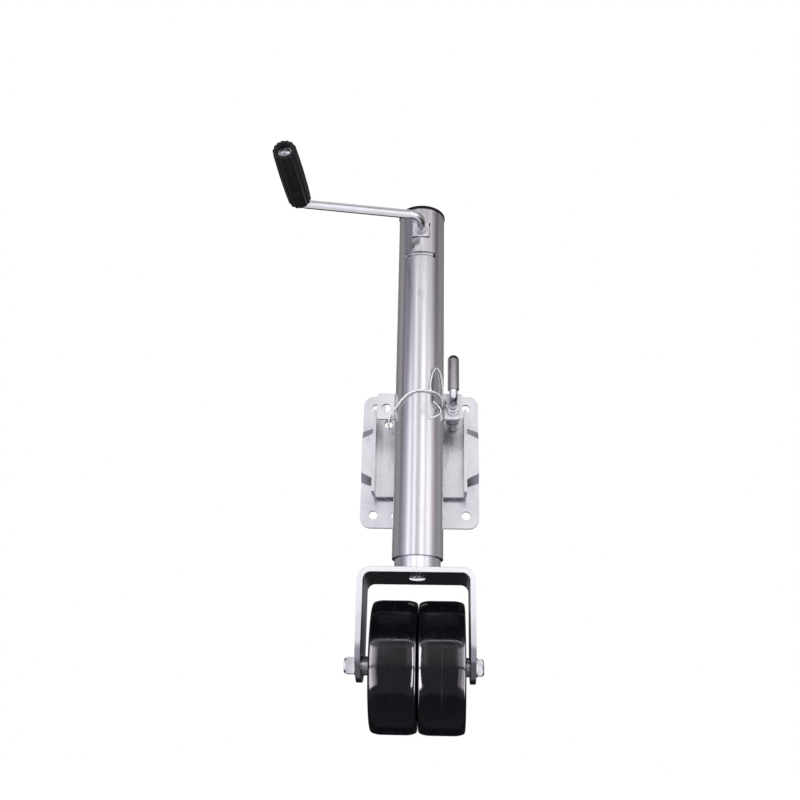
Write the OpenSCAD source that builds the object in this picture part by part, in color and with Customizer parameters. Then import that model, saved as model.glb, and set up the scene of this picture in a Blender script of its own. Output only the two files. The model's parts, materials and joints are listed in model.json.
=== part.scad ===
// Swing-away trailer tongue jack with a twin-wheel caster.
// Frame: +Z up, +X to the right seen from the crank side, +Y back towards the
// trailer. The origin is the centre of the bolt pattern on the mount plate's
// back face. Heights named _h are above the ground with the leg wound right up.

/* [Overall] */
// Height of the mount plate's centre above the ground
mount_h = 355.3; // [352:0.1:360]
// Distance from the tube axis back to the mounting face
tube_offset = 78; // [78:0.5:84]
// Travel of the leg from wound up to wound down
travel = 252; // [200:2:252]

/* [Outer tube] */
// Outside diameter of the fixed tube
tube_d = 63.5; // [63.5:0.1:64.5]
// Wall of the fixed tube
tube_wall = 3; // [2.8:0.1:3]
// Height of the fixed tube's lower end
tube_bottom_h = 203.2; // [198:0.2:215]
// Height of the fixed tube's upper end
tube_top_h = 694.8; // [690:0.2:705]
// Height of the pressed beads that hold the bearing plate
bead_h = 621; // [620:0.5:623]
// Depth of the pressed beads
bead_depth = 1.8; // [1.2:0.1:2]

/* [Leg] */
// Wall of the sliding inner tube
inner_wall = 2.6; // [2.4:0.1:2.8]
// Outside width of the fork
fork_w = 140; // [140:1:146]
// Thickness of the fork strap
fork_t = 6.5; // [5:0.5:6.5]
// Front-to-back depth of the fork strap
fork_depth = 84; // [70:1:84]
// Height of the top of the fork's bar
fork_top_h = 186.5; // [184:0.5:190]
// Height of the lower ends of the fork's legs
fork_end_h = 57.2; // [52:0.2:60]
// Vent hole in the middle of the fork's bar
fork_hole_d = 18; // [12:1:22]

/* [Wheels] */
// Diameter of each wheel
wheel_d = 152.4; // [150:0.1:154]
// Width of each wheel
wheel_w = 54.2; // [50:0.2:54.2]
// Gap between the two wheels
wheel_gap = 1.2; // [1.2:0.1:2]
// Sideways play taken up by the pair of wheels
wheel_shift = 2.65; // [0:0.05:2.65]

/* [Crank] */
// Height of the crank shaft's axis
crank_h = 658.5; // [656:0.5:660]
// Diameter of the crank rod
rod_d = 12; // [11:0.5:12]
// Length of the crank arm, shaft axis to grip axis
arm_l = 165.2; // [140:0.2:180]
// Distance from the tube axis forward to the arm
arm_y = 66.7; // [64:0.1:84]
// Rise of the arm's outer end when the jack stands ready, in degrees
arm_rise = 6.86; // [0:0.02:20]
// Outward lean of the grip, in degrees
grip_splay = 2.5; // [0:0.1:5]
// Diameter of the grip over its flutes
grip_d = 32; // [26:0.5:33]
// Length of the grip
grip_l = 108; // [90:1:108]

/* [Mount plate] */
// Width of the mount plate
plate_w = 160; // [156:1:170]
// Height of the mount plate
plate_l = 189; // [184:1:196]
// Thickness of the plate's sheet
plate_t = 4; // [3.5:0.5:4]
// Bolt spacing across the plate
bolt_dx = 125; // [120:1:130]
// Bolt spacing up the plate
bolt_dz = 154; // [148:1:158]
// Diameter of the bolt holes
bolt_hole_d = 12; // [11:0.1:13.5]
// How far the pressed centre stands forward of the flange
press_depth = 8; // [8:1:8]

/* [Saddle and lock] */
// Height of the swing pivot above the plate's centre
pivot_z = 5; // [5:1:5]
// Offset of the lock holes from the pivot, sideways and up
lock_off = 44; // [43:0.5:44.5]
// Diameter of the lock holes
lock_hole_d = 12; // [11.6:0.1:12.4]
// Diameter of the pull pin
pin_d = 11; // [10:0.5:11]

/* [Hidden] */
$fn = 96;

zinc = "#c9cbd4";
zinc_dull = "#b3b6bb";
bright = "#e2e4ea";
black_plastic = "#15151a";
gunmetal = "#7f8288";
bronze = "#a98648";
clear_plastic = "#e4e6e6";

fit = 0.04;  // added to the bore of a close-fitting part
over = 1;    // how far a cutter runs past the face it cuts

tube_id = tube_d - 2 * tube_wall;
inner_d = tube_id - 0.3;
inner_id = inner_d - 2 * inner_wall;

// Depths behind the tube axis
plate_back = tube_offset;
press_front = plate_back - plate_t - press_depth;
web_t = 4;
web_back = press_front - 0.5;
web_front = web_back - web_t;

// ---- Helpers ----

// Height above the ground turned into z
function level(height) = height - mount_h;
function unit(vector) = vector / norm(vector);

// The jack's own axis stands in front of the mounting face
module on_axis() translate([0, -tube_offset, 0]) children();

module rod_y(diameter, start, end)
    translate([0, start, 0]) rotate([-90, 0, 0]) cylinder(d = diameter, h = end - start);
module rod_x(diameter, start, end)
    translate([start, 0, 0]) rotate([0, 90, 0]) cylinder(d = diameter, h = end - start);
module ring_y(outer, inner, start, end) difference() {
    rod_y(outer, start, end);
    rod_y(inner, start - over, end + over);
}
module ring_x(outer, inner, start, end) difference() {
    rod_x(outer, start, end);
    rod_x(inner, start - over, end + over);
}
module ring_z(outer, inner, bottom, top) translate([0, 0, bottom]) difference() {
    cylinder(d = outer, h = top - bottom);
    translate([0, 0, -over]) cylinder(d = inner, h = top - bottom + 2 * over);
}
// Bend of a round bar, about the local Z axis
module elbow(bend, diameter, angle = 90)
    rotate_extrude(angle = angle) translate([bend, 0]) circle(d = diameter);

// Outline drawn in XZ, extruded from front to back
module upright(front, back)
    translate([0, back, 0]) rotate([90, 0, 0]) linear_extrude(back - front) children();
// Outline drawn in YZ, extruded to both sides of x = 0
module side_view(width)
    rotate([90, 0, 90]) translate([0, 0, -width / 2]) linear_extrude(width) children();

module rounded(width, length, corner) {
    square([width - 2 * corner, length], center = true);
    square([width, length - 2 * corner], center = true);
    for (x = [-1, 1], y = [-1, 1])
        translate([x * (width / 2 - corner), y * (length / 2 - corner)]) circle(corner);
}
module top_rounded(width, bottom, top, corner) {
    translate([-width / 2, bottom]) square([width, top - bottom - corner]);
    translate([-width / 2 + corner, bottom]) square([width - 2 * corner, top - bottom]);
    for (side = [-1, 1]) translate([side * (width / 2 - corner), top - corner]) circle(corner);
}

// Points around a path point; up sets where the first one falls
sweep_sides = 8;
function section_points(path, i, radius, up) = let (
    ahead = unit(path[min(i + 1, len(path) - 1)] - path[max(i - 1, 0)]),
    across = unit(cross(ahead, up)),
    third = cross(ahead, across))
    [for (k = [0:sweep_sides - 1]) let (angle = 360 * k / sweep_sides)
        path[i] + radius * (cos(angle) * across + sin(angle) * third)];
// Round cord swept along a list of points
module sweep(path, radius, up) {
    sides = sweep_sides;
    last = len(path) - 1;
    polyhedron(
        points = [for (i = [0:last]) each section_points(path, i, radius, up)],
        faces = concat(
            [[for (k = [0:sides - 1]) k]],
            [for (i = [0:last - 1], k = [0:sides - 1]) let (next = (k + 1) % sides)
                [i * sides + k, (i + 1) * sides + k, (i + 1) * sides + next, i * sides + next]],
            [[for (k = [0:sides - 1]) last * sides + sides - 1 - k]]));
}

// ---- Mount plate and pivot ----

plate_corner = 14;
notch_w = 100;
notch_l = 60;
notch_bottom = 62.7;
small_hole_x = -33;
small_hole_d = 11;
hub_head_d = 78;
hub_head_t = 3;
hub_body_d = 50;
hub_neck_d = 40;
hub_peen_d = 47;
hub_bore_d = 26;

// Pressed centre: a rounded octagon, shrunk by inset on every side
module pressing(inset) translate([0, pivot_z]) {
    top_inset = inset * 0.4;
    corner_inset = inset * 0.75;
    // x, z down the upper right quarter
    quarter = [
        [28 - top_inset, 66.5 - inset],
        [45 - top_inset, 63 - inset],
        [57 - corner_inset, 54 - corner_inset],
        [64 - inset, 40 - top_inset],
        [68 - inset, 20]];
    right = concat(quarter, [for (i = [4:-1:0]) [quarter[i].x, -quarter[i].y]]);
    polygon(concat(right, -right));
}
// Band from the pressed centre out past both side edges of the plate
module wings(inset) translate([0, pivot_z]) {
    full_inset = 7;  // beyond this the wings shrink at half the rate
    shrink = min(inset, full_inset) + max(0, inset - full_inset) * 0.5;
    end_x = plate_w / 2 + 2;
    end_z = 40 - shrink * 2.35;
    root_x = 58;
    root_z = 47.5 - shrink * 1.64;
    lower = [[-end_x, -end_z], [-root_x, -root_z], [root_x, -root_z], [end_x, -end_z]];
    polygon(concat(lower, -lower));
}
// Pressing and wings as a block, tapering between two insets
module pressed_block(back_inset, front_inset, front, back) {
    skin = 0.01;
    hull() {
        upright(back - skin, back) pressing(back_inset);
        upright(front, front + skin) pressing(front_inset);
    }
    hull() {
        upright(back - skin, back) wings(back_inset);
        upright(front, front + skin) wings(front_inset);
    }
}
module plate_hole(diameter, x, z)
    translate([x, 0, z]) rod_y(diameter, press_front - over, plate_back + over);
module mount_plate() color(zinc_dull) on_axis() difference() {
    union() {
        upright(plate_back - plate_t, plate_back) rounded(plate_w, plate_l, plate_corner);
        intersection() {
            pressed_block(0, 7, press_front, plate_back - 0.5);
            upright(press_front - over, plate_back) rounded(plate_w, plate_l, plate_corner);
        }
    }
    // Hollow behind the pressing
    pressed_block(4, 9.5, press_front + plate_t, plate_back + 0.02);
    // Notch in the upper edge
    upright(press_front - over, plate_back + over)
        translate([0, notch_bottom + notch_l / 2]) rounded(notch_w, notch_l, 6);
    for (side = [-1, 1], end = [-1, 1]) {
        plate_hole(bolt_hole_d, side * bolt_dx / 2, end * bolt_dz / 2);
        plate_hole(lock_hole_d, side * lock_off, pivot_z + end * lock_off);
    }
    plate_hole(small_hole_d, small_hole_x, -bolt_dz / 2);
    plate_hole(hub_neck_d + fit, 0, pivot_z);
}
// Headed hub, peened over behind the pressing; the saddle turns on it
module pivot_hub() color(zinc) on_axis() translate([0, 0, pivot_z]) difference() {
    union() {
        rod_y(hub_head_d, web_front - 0.1 - hub_head_t, web_front - 0.1);
        rod_y(hub_body_d, web_front - 0.2, press_front - 0.02);
        rod_y(hub_neck_d, press_front - 0.1, press_front + plate_t + 0.1);
        rod_y(hub_peen_d, press_front + plate_t + 0.02, press_front + plate_t + 2.5);
    }
    rod_y(hub_bore_d, web_front - 5, plate_back);
}

// ---- Saddle that swings with the tube ----

lock_z = pivot_z + lock_off;
saddle_w = 126;
saddle_l = 115;
saddle_z = 2.5;       // centre of its height
side_front = 34;      // front edge of the side walls
cradle_x = 26;        // middle of each cradle plate
cradle_t = 4;
cradle_front = 10;
cradle_bottom_h = 303;
cradle_l = 112;
ear_t = 4;
anchor_y = 42;        // lanyard's end in the left cradle plate
anchor_z = 22;

module tube_cutter() translate([0, 0, -200]) cylinder(d = tube_d + fit, h = 400);
module saddle_channel() color(zinc_dull) on_axis() difference() {
    union() {
        upright(web_front, web_back) translate([0, saddle_z]) rounded(saddle_w, saddle_l, 3);
        for (side = [-1, 1]) intersection() {
            translate([side * (saddle_w - web_t) / 2 - web_t / 2, side_front,
                saddle_z - saddle_l / 2])
                cube([web_t, web_back - side_front, saddle_l]);
            // Rounds the back corners of the side walls
            side_view(140) translate([web_back - 63 / 2, saddle_z]) rounded(63, saddle_l, 8);
        }
    }
    translate([0, 0, pivot_z]) rod_y(hub_body_d + 0.3, web_front - over, web_back + over);
    for (side = [-1, 1]) translate([side * lock_off, 0, lock_z])
        rod_y(lock_hole_d, web_front - over, web_back + over);
}
// Two side plates weld the tube to the saddle and clear the hub's head
module tube_cradle() color(zinc_dull) on_axis() difference() {
    for (side = [-1, 1])
        translate([side * cradle_x - cradle_t / 2, cradle_front, level(cradle_bottom_h)])
            cube([cradle_t, web_front - cradle_front, cradle_l]);
    tube_cutter();
    translate([0, 0, pivot_z]) rod_y(hub_head_d + 3, web_front - 3.8, web_front + over);
    translate([0, anchor_y, anchor_z]) rod_x(8, -50, -20);
}
module lock_ears() color(zinc) on_axis() for (side = [-1, 1]) difference() {
    translate([side * 43, 0, lock_z + 2.3]) upright(0, ear_t) rounded(26, 36.2, 4);
    tube_cutter();
    translate([side * lock_off, 0, lock_z]) rod_y(lock_hole_d, -over, ear_t + over);
}

// ---- Pull pin ----

handle_y = -41;
handle_l = 43.5;
pin_bend = 6;
pin_tip = press_front - 0.3;
tip_l = 2;
sleeve_d = 14.6;
sleeve_l = 41;
sleeve_z = pin_bend + 2.9;
cross_pin_y = 47.5;
cross_pin_d = 3.5;
cross_pin_l = 18;

module at_pin() on_axis() translate([lock_off, 0, lock_z]) children();
module pull_pin() color(bright) at_pin() difference() {
    union() {
        rod_y(pin_d, handle_y + pin_bend, pin_tip - tip_l);
        translate([0, pin_tip - tip_l, 0]) rotate([-90, 0, 0])
            cylinder(d1 = pin_d, d2 = pin_d - 3, h = tip_l);
        translate([0, handle_y + pin_bend, pin_bend])
            rotate([0, 90, 0]) rotate([0, 0, -90]) elbow(pin_bend, pin_d);
        translate([0, handle_y, pin_bend]) cylinder(d = pin_d, h = handle_l);
    }
    translate([0, cross_pin_y, -10]) cylinder(d = cross_pin_d + fit, h = 20);
}
module pin_sleeve() color(gunmetal) at_pin() translate([0, handle_y, 0]) difference() {
    union() {
        translate([0, 0, sleeve_z]) cylinder(d = sleeve_d, h = sleeve_l);
        translate([0, 0, sleeve_z + sleeve_l]) sphere(d = sleeve_d);
    }
    translate([0, 0, pin_bend - over]) cylinder(d = pin_d + 0.2, h = handle_l + over + 0.2);
}
module pin_washer() color(zinc) at_pin() ring_y(19, pin_d + 0.1, 43, 45.4);
module pin_cross_pin() color(bright) at_pin()
    translate([0, cross_pin_y, -cross_pin_l / 2]) cylinder(d = cross_pin_d, h = cross_pin_l);

spring_front = 4.95;
spring_back = 42.05;
spring_turns = 7.5;
spring_steps = 150;
spring_r = 7.75;      // to the middle of the wire
spring_wire_r = 0.85;
spring_end = 0.13;    // share of the wire in each closed-up end
// Share of the length reached at t along the wire; the coils start close at both ends
function end_reach(t) = 0.34 * t + 0.9 * t * t / spring_end;
function spring_reach(t) =
    t < spring_end ? end_reach(t) :
    t > 1 - spring_end ? 1 - end_reach(1 - t) :
    end_reach(spring_end)
        + (t - spring_end) * (1 - 2 * end_reach(spring_end)) / (1 - 2 * spring_end);
function spring_at(t) = let (angle = 360 * spring_turns * t) [
    spring_r * cos(angle),
    spring_front + (spring_back - spring_front) * spring_reach(t),
    spring_r * sin(angle)];
module pin_spring() color(bright) at_pin()
    sweep([for (i = [0:spring_steps]) spring_at(i / spring_steps)], spring_wire_r, [0, 1, 0]);

// Catmull-Rom curve between points i and i + 1
function spline(points, i, t) = let (
    before = points[max(i - 1, 0)],
    from = points[i],
    to = points[i + 1],
    after = points[min(i + 2, len(points) - 1)])
    0.5 * (2 * from + (to - before) * t
        + (2 * before - 5 * from + 4 * to - after) * t * t
        + (3 * from - before - 3 * to + after) * t * t * t);
cord_r = 1;
cord_steps = 6;
// x, y, z along the cord, z from the lock holes, round the front of the tube
cord = [
    [38, -9, 6.5], [31, -24, 9], [16, -33, 10], [0, -36, 9.5], [-18, -32, 8],
    [-31, -20, 5], [-37.5, -10, -3], [-40, -5.5, -12], [-40.6, -2.8, -18.5],
    [-40, 4, -22], [-37, 16, -24.5], [-32.5, 30, -26.5], [-30, 38, -27], [-29.2, 42, -27]];
module lanyard() color(clear_plastic) on_axis() {
    translate([0, 0, lock_z])
        sweep([for (i = [0:len(cord) - 2], k = [0:cord_steps - 1])
            spline(cord, i, k / cord_steps)], cord_r, [0.2, 0.1, 1]);
    // Loop round the pull pin
    translate([lock_off, -9, lock_z]) rotate([90, 0, 0])
        rotate_extrude() translate([7.6, 0]) circle(r = cord_r, $fn = 24);
    translate([0, anchor_y, anchor_z]) rod_x(5, -30.6, -28.1);
}

// ---- Tube, cap and shaft bushes ----

bead_r = 4;
bead_start = -133;    // degrees about Z, for the front bead
bead_angle = 78;
slot_w = 2;           // slot at one end of each bead
slot_l = 8.4;
window_w = 24.4;
lip_t = 2.4;
bush_w = 22.4;
bush_t = 9;
bush_y = -31.4;
bush_gap = 0.4;       // from the window's left and upper edges
flange_w = 28;
flange_t = 2.5;
rear_bush_d = 16;
shaft_d = 10;

module at_shaft() on_axis() translate([0, 0, level(crank_h)]) children();
module at_bead_level() on_axis() translate([0, 0, level(bead_h)]) children();
// A pressed bead across the front and another across the back
module each_bead() for (turn = [0, 180])
    translate([0, 0, level(bead_h)]) rotate([0, 0, turn + bead_start]) children();
module outer_tube() color(zinc) on_axis() difference() {
    union() {
        ring_z(tube_d, tube_id, level(tube_bottom_h), level(tube_top_h));
        each_bead() rotate_extrude(angle = bead_angle) intersection() {
            translate([tube_id / 2 + bead_r - bead_depth, 0]) circle(bead_r);
            translate([10, -10]) square([tube_d / 2 - 10, 20]);
        }
    }
    each_bead() rotate_extrude(angle = bead_angle)
        translate([tube_d / 2 + bead_r - bead_depth, 0]) circle(bead_r);
    each_bead() rotate([0, 0, bead_angle + 1.5])
        translate([tube_id / 2 - 3, -slot_w / 2, -slot_l / 2]) cube([8, slot_w, slot_l]);
    // Window for the front bush, hole for the rear one
    translate([-window_w / 2, -tube_d / 2 - over, level(crank_h) - window_w / 2])
        cube([window_w, 12, window_w]);
    translate([0, 0, level(crank_h)]) rod_y(rear_bush_d + 0.06, 15, 40);
}
module top_cap() color(black_plastic) on_axis() translate([0, 0, level(tube_top_h)]) {
    rotate_extrude() {
        square([tube_d / 2 - lip_t / 2, lip_t]);
        translate([tube_d / 2 - lip_t / 2, lip_t / 2]) circle(lip_t / 2);
    }
    ring_z(tube_id - 0.1, tube_id - 6, -9, 0.5);
}
module shaft_bush_front() color(zinc_dull) at_shaft() difference() {
    union() {
        translate([bush_gap - window_w / 2, bush_y, window_w / 2 - bush_gap - bush_w])
            cube([bush_w, bush_t, bush_w]);
        translate([-flange_w / 2, bush_y + bush_t - flange_t, -flange_w / 2])
            cube([flange_w, flange_t, flange_w]);
    }
    rod_y(rod_d + 0.1, -40, -10);
    rod_y(16.8, -32, bush_y + 3);
}
module shaft_bush_rear() color(bronze) at_shaft() difference() {
    union() {
        rod_y(rear_bush_d, 25, 32.2);
        rod_y(24, 23.4, 25.8);
    }
    rod_y(shaft_d + 0.1, 20, 35);
}

// ---- Crank ----

bend_in = 16;         // bend radii at the shaft and grip ends of the arm
bend_out = 8;
turn_out = bend_out * tan(45 - grip_splay / 2);
rod_end = -108.4;
grip_end = rod_end - 9;
grip_corner = 4;
flute_d = 6;
flute_margin = 7;
screw_d = 6;
pinion_pin_y = 10.5;
pinion_pin_d = 3.5;
pinion_pin_l = 14.4;

module at_crank() at_shaft() rotate([0, arm_rise, 0]) children();
module at_grip()
    at_crank() translate([-arm_l, -arm_y, 0]) rotate([0, 0, -grip_splay]) children();
module crank_rod() color(zinc) difference() {
    union() {
        at_crank() {
            rod_y(shaft_d, -21.1, 32.6);
            rod_y(rod_d, -arm_y + bend_in, -21);
            translate([-bend_in, -arm_y + bend_in, 0])
                rotate([0, 0, -90]) elbow(bend_in, rod_d);
            translate([0, -arm_y, 0]) rod_x(rod_d, -arm_l + turn_out, -bend_in);
            translate([-arm_l + turn_out, -arm_y - bend_out, 0])
                rotate([0, 0, 90]) elbow(bend_out, rod_d, 90 - grip_splay);
        }
        at_grip() rod_y(rod_d - 0.1, rod_end, 0.3 - turn_out);
    }
    at_grip() rod_y(screw_d + fit, rod_end - over, rod_end + 18);
    at_crank() translate([0, pinion_pin_y, 0]) rod_x(pinion_pin_d + fit, -10, 10);
}
module crank_grip() color(black_plastic) at_grip() difference() {
    translate([0, grip_end, 0]) rotate([-90, 0, 0]) rotate_extrude() {
        square([grip_d / 2 - grip_corner, grip_l]);
        translate([0, grip_corner]) square([grip_d / 2, grip_l - 2 * grip_corner]);
        for (z = [grip_corner, grip_l - grip_corner])
            translate([grip_d / 2 - grip_corner, z]) circle(grip_corner);
    }
    // Finger flutes along the grip
    for (angle = [15:30:345]) rotate([0, angle, 0]) translate([grip_d / 2 + 1.2, 0, 0])
        rod_y(flute_d, grip_end + flute_margin, grip_end + grip_l - flute_margin);
    rod_y(rod_d + 0.4, grip_end - over, 20);
    // Recess for the washer and screw
    rod_y(19, grip_end - over, rod_end + 0.2);
}
module grip_washer() color(bright) at_grip() ring_y(17.5, 6.4, rod_end - 1.5, rod_end);
module grip_screw() color(bright) at_grip() difference() {
    union() {
        rod_y(screw_d, rod_end - 2, rod_end + 16);
        // Pan head, domed
        intersection() {
            rod_y(14.6, rod_end - 6.4, rod_end - 1.55);
            translate([0, rod_end + 3.1, 0]) sphere(r = 9.6);
        }
    }
    // Cross recess
    for (angle = [0, 90]) rotate([0, angle, 0])
        translate([-4, rod_end - 8, -0.7]) cube([8, 3.6, 1.4]);
}

// ---- Bevel gears, 12 and 24 teeth on one cone distance ----

cone = 23.48;         // cone distance, apex at the shaft crossing
tooth_face = 6;
journal_d = 14;
gear_hub = crank_h - bead_h + 1;
gear_pin_h = bead_h + 7;
gear_pin_d = 5;
gear_pin_l = 23.6;

module bevel_teeth(count, half_angle, phase) for (k = [0:count - 1])
    rotate([0, 0, phase + 360 * k / count]) rotate([0, half_angle, 0])
        translate([0, 0, cone - tooth_face]) linear_extrude(tooth_face)
            polygon([[-2.2, -1.12], [1.25, -0.5], [1.25, 0.5], [-2.2, 1.12]]);
module pinion() color(gunmetal) at_shaft() rotate([-90, 0, 0]) difference() {
    union() {
        // radius, distance behind the tube axis
        rotate_extrude() polygon([
            [0, 7], [7.5, 7], [7.5, 15], [6.1, 15],
            [6.39, 16.35], [9.07, 21.72], [9.07, 22.8], [0, 22.8]]);
        bevel_teeth(12, 26.565, 0);
    }
    cylinder(d = shaft_d + fit, h = 60, center = true);
    rotate([0, 0, arm_rise]) translate([0, 0, pinion_pin_y])
        rod_x(pinion_pin_d + fit, -10, 10);
}
module pinion_pin() color(bright) at_crank() translate([0, pinion_pin_y, 0])
    rod_x(pinion_pin_d, -pinion_pin_l / 2, pinion_pin_l / 2);
module driven_gear() color(gunmetal) at_shaft() rotate([180, 0, 0]) difference() {
    union() {
        // radius, distance below the shaft axis
        rotate_extrude() polygon([
            [0, 10.3], [13.5, 10.3], [14.92, 9.25], [20.28, 11.93],
            [20.28, 15.5], [12, 15.5], [12, gear_hub], [0, gear_hub]]);
        bevel_teeth(24, 63.435, 7.5);
    }
    cylinder(d = journal_d + fit, h = 100, center = true);
    translate([0, 0, crank_h - gear_pin_h]) rod_x(gear_pin_d + fit, -20, 20);
}
module gear_pin() color(bright) on_axis() translate([0, 0, level(gear_pin_h)])
    rod_x(gear_pin_d, -gear_pin_l / 2, gear_pin_l / 2);

// ---- Bearing and screw, z from the beads ----

washer_bore = journal_d + 0.3;
ball_z = -13.2;
ball_d = 4.3;
ball_ring_r = 10.8;
cage_t = 1.2;
race_t = 1.4;
thread_d = 18;
thread_chamfer = 2;
collar_bottom = -22;
nut_flange_z = -28;
nut_flange_t = 4;
longest_travel = 252;
// The screw reaches lowest at the longest travel
screw_end = level(310) + longest_travel - travel;

module hub_washer() color(zinc) at_bead_level() ring_z(26, washer_bore, -3.4, -1.1);
module bearing_plate() color(zinc_dull) at_bead_level()
    ring_z(tube_id - fit, washer_bore, -9.5, -3.5);
module thrust_races() color(bright) at_bead_level() for (bottom = [-11, -16.8])
    ring_z(28, journal_d + 0.4, bottom, bottom + race_t);
module at_balls(z) for (angle = [0:30:330])
    rotate([0, 0, angle]) translate([ball_ring_r, 0, z]) children();
module thrust_balls() color(bright) at_bead_level() at_balls(ball_z) sphere(d = ball_d, $fn = 48);
module ball_cage() color(bronze) at_bead_level() difference() {
    ring_z(27, 15.4, ball_z - cage_t / 2, ball_z + cage_t / 2);
    at_balls(-14) cylinder(d = ball_d + 0.4, h = 3, $fn = 48);
}
module lead_screw() color(gunmetal) on_axis() difference() {
    union() {
        translate([0, 0, screw_end + thread_chamfer]) cylinder(d = thread_d,
            h = level(bead_h + collar_bottom + 0.1) - screw_end - thread_chamfer);
        translate([0, 0, screw_end]) cylinder(d1 = 14, d2 = thread_d, h = thread_chamfer);
        translate([0, 0, level(bead_h + collar_bottom)]) cylinder(d = 24, h = 5.1);
        translate([0, 0, level(bead_h - 17)])
            cylinder(d = journal_d, h = crank_h - bead_h + 6.7);
    }
    translate([0, 0, level(gear_pin_h)]) rod_x(gear_pin_d + fit, -20, 20);
}
module drive_nut() color(bronze) at_bead_level() difference() {
    union() {
        translate([0, 0, nut_flange_z]) cylinder(d = inner_d - 0.4, h = nut_flange_t);
        translate([0, 0, -52]) cylinder(d = inner_id - 0.2, h = 24.5);
    }
    translate([0, 0, -62]) cylinder(d = thread_d + 0.2, h = 50);
}

// ---- Leg, fork and axle ----

fork_corner = 9.5;    // inside corner of the strap
leg_out = fork_w / 2;
leg_in = leg_out - fork_t;
axle_h = wheel_d / 2;
axle_d = 12;
axle_bore = axle_d + 0.3;
sleeve_tube_d = 16;
spacer_bore = sleeve_tube_d + 0.2;
spacer_d = 22;
hex_flats = 19;

module at_axle() on_axis() translate([0, 0, level(axle_h)]) children();
module inner_tube() color(zinc) on_axis()
    ring_z(inner_d, inner_id, level(fork_top_h), level(bead_h + nut_flange_z));
module fork() color(zinc) on_axis() difference() {
    intersection() {
        upright(-fork_depth / 2, fork_depth / 2) difference() {
            top_rounded(fork_w, level(fork_end_h), level(fork_top_h), fork_corner + fork_t);
            top_rounded(2 * leg_in, level(fork_end_h) - 10, level(fork_top_h) - fork_t,
                fork_corner);
        }
        // Rounded leg ends
        side_view(200) mirror([0, 1]) top_rounded(fork_depth, -level(fork_top_h) - over,
            -level(fork_end_h), fork_depth / 2 - 0.5);
    }
    translate([0, 0, level(fork_top_h) - 20]) cylinder(d = fork_hole_d, h = 30);
    translate([0, 0, level(axle_h)]) rod_x(axle_bore, -100, 100);
}
module hex_at(x) translate([x, 0, 0]) rotate([0, 90, 0]) rotate([0, 0, 30]) children();
module hexagon(height) cylinder(d = hex_flats / cos(30), h = height, $fn = 6);
// Bolt head on the right, nut on the left
module axle_bolt() color(bright) at_axle() {
    rod_x(axle_d, -leg_out - 15.6, leg_out + 3);
    hex_at(leg_out + 2.45) intersection() {
        hexagon(7.5);
        translate([0, 0, -3.3]) sphere(r = 13.4);
    }
}
module axle_nut() color(bright) at_axle() difference() {
    union() {
        hex_at(-leg_out - 12.4) hexagon(9.95);
        rod_x(17, -leg_out - 14.8, -leg_out - 12);
    }
    rod_x(axle_d + fit, -leg_out - 20, -leg_out);
}
module axle_washers() color(zinc) at_axle() for (side = [-1, 1])
    scale([side, 1, 1]) ring_x(22, axle_d + 0.5, leg_out + 0.02, leg_out + 2.42);
module axle_sleeve() color(zinc_dull) at_axle()
    ring_x(sleeve_tube_d, axle_bore, -leg_in + 0.05, leg_in - 0.05);

// ---- Wheels ----

wheel_r = wheel_d / 2;
wheel_in = wheel_gap / 2;
wheel_out = wheel_in + wheel_w;
bushing_d = 22;
rim_r = 62;           // inside of the rim
web_r = 18;           // where the disc and ribs start, inside the hub
web_l = 46;
hub_r = 21;
disc_t = 12;
rib_t = 4;
// Tread: flat middle, then shoulders, then rounded edges
tread_half = 14;
shoulder_r = 30;
edge_r = 4;
edge_z = wheel_w / 2 - edge_r;
shoulder_sin = (edge_z - tread_half) / (shoulder_r - edge_r);
shoulder_cos = sqrt(1 - shoulder_sin * shoulder_sin);
shoulder_x = wheel_r - shoulder_r;
edge_x = shoulder_x + (shoulder_r - edge_r) * shoulder_cos;

module axle_spacers() color(zinc_dull) at_axle() {
    ring_x(spacer_d, spacer_bore, wheel_out + wheel_shift + 0.2, leg_in - 0.1);
    ring_x(spacer_d, spacer_bore, -leg_in + 0.1, -wheel_out + wheel_shift - 0.2);
}
module wheel_divider() color(zinc_dull) at_axle() translate([wheel_shift, 0, 0])
    ring_x(34, spacer_bore, -wheel_in + 0.15, wheel_in - 0.15);
module at_wheel(side) at_axle()
    translate([wheel_shift + side * (wheel_in + wheel_w / 2), 0, 0]) children();
module wheel() difference() {
    rotate([0, 90, 0]) union() {
        rotate_extrude() {
            translate([rim_r, -tread_half]) square([wheel_r - rim_r, 2 * tread_half]);
            translate([rim_r, -wheel_w / 2]) square([edge_x - rim_r, wheel_w]);
            for (side = [-1, 1]) {
                // Shoulder, cut from its circle by a wedge with a 40 mm reach
                intersection() {
                    translate([shoulder_x, side * tread_half]) circle(shoulder_r);
                    polygon([
                        [rim_r, side * (tread_half - 1)],
                        [80, side * (tread_half - 1)],
                        [80, side * tread_half],
                        [shoulder_x + 40 * shoulder_cos,
                            side * (tread_half + 40 * shoulder_sin)],
                        [edge_x, side * edge_z],
                        [rim_r, side * edge_z]]);
                }
                translate([edge_x, side * edge_z]) circle(edge_r);
            }
            translate([web_r, -disc_t / 2]) square([web_l, disc_t]);
            translate([0, -wheel_w / 2]) square([hub_r, wheel_w]);
        }
        // Ribs between hub and rim
        for (angle = [0:45:315]) rotate([0, 0, angle])
            translate([web_r, -rib_t / 2, -wheel_w / 2 + 4]) cube([web_l, rib_t, wheel_w - 8]);
    }
    rod_x(bushing_d + fit, -40, 40);
}
module wheel_bushing() ring_x(bushing_d, sleeve_tube_d + 0.12, -wheel_w / 2, wheel_w / 2);
module wheel_left() color(black_plastic) at_wheel(-1) wheel();
module wheel_right() color(black_plastic) at_wheel(1) wheel();
module wheel_bushing_left() color(bronze) at_wheel(-1) wheel_bushing();
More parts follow.
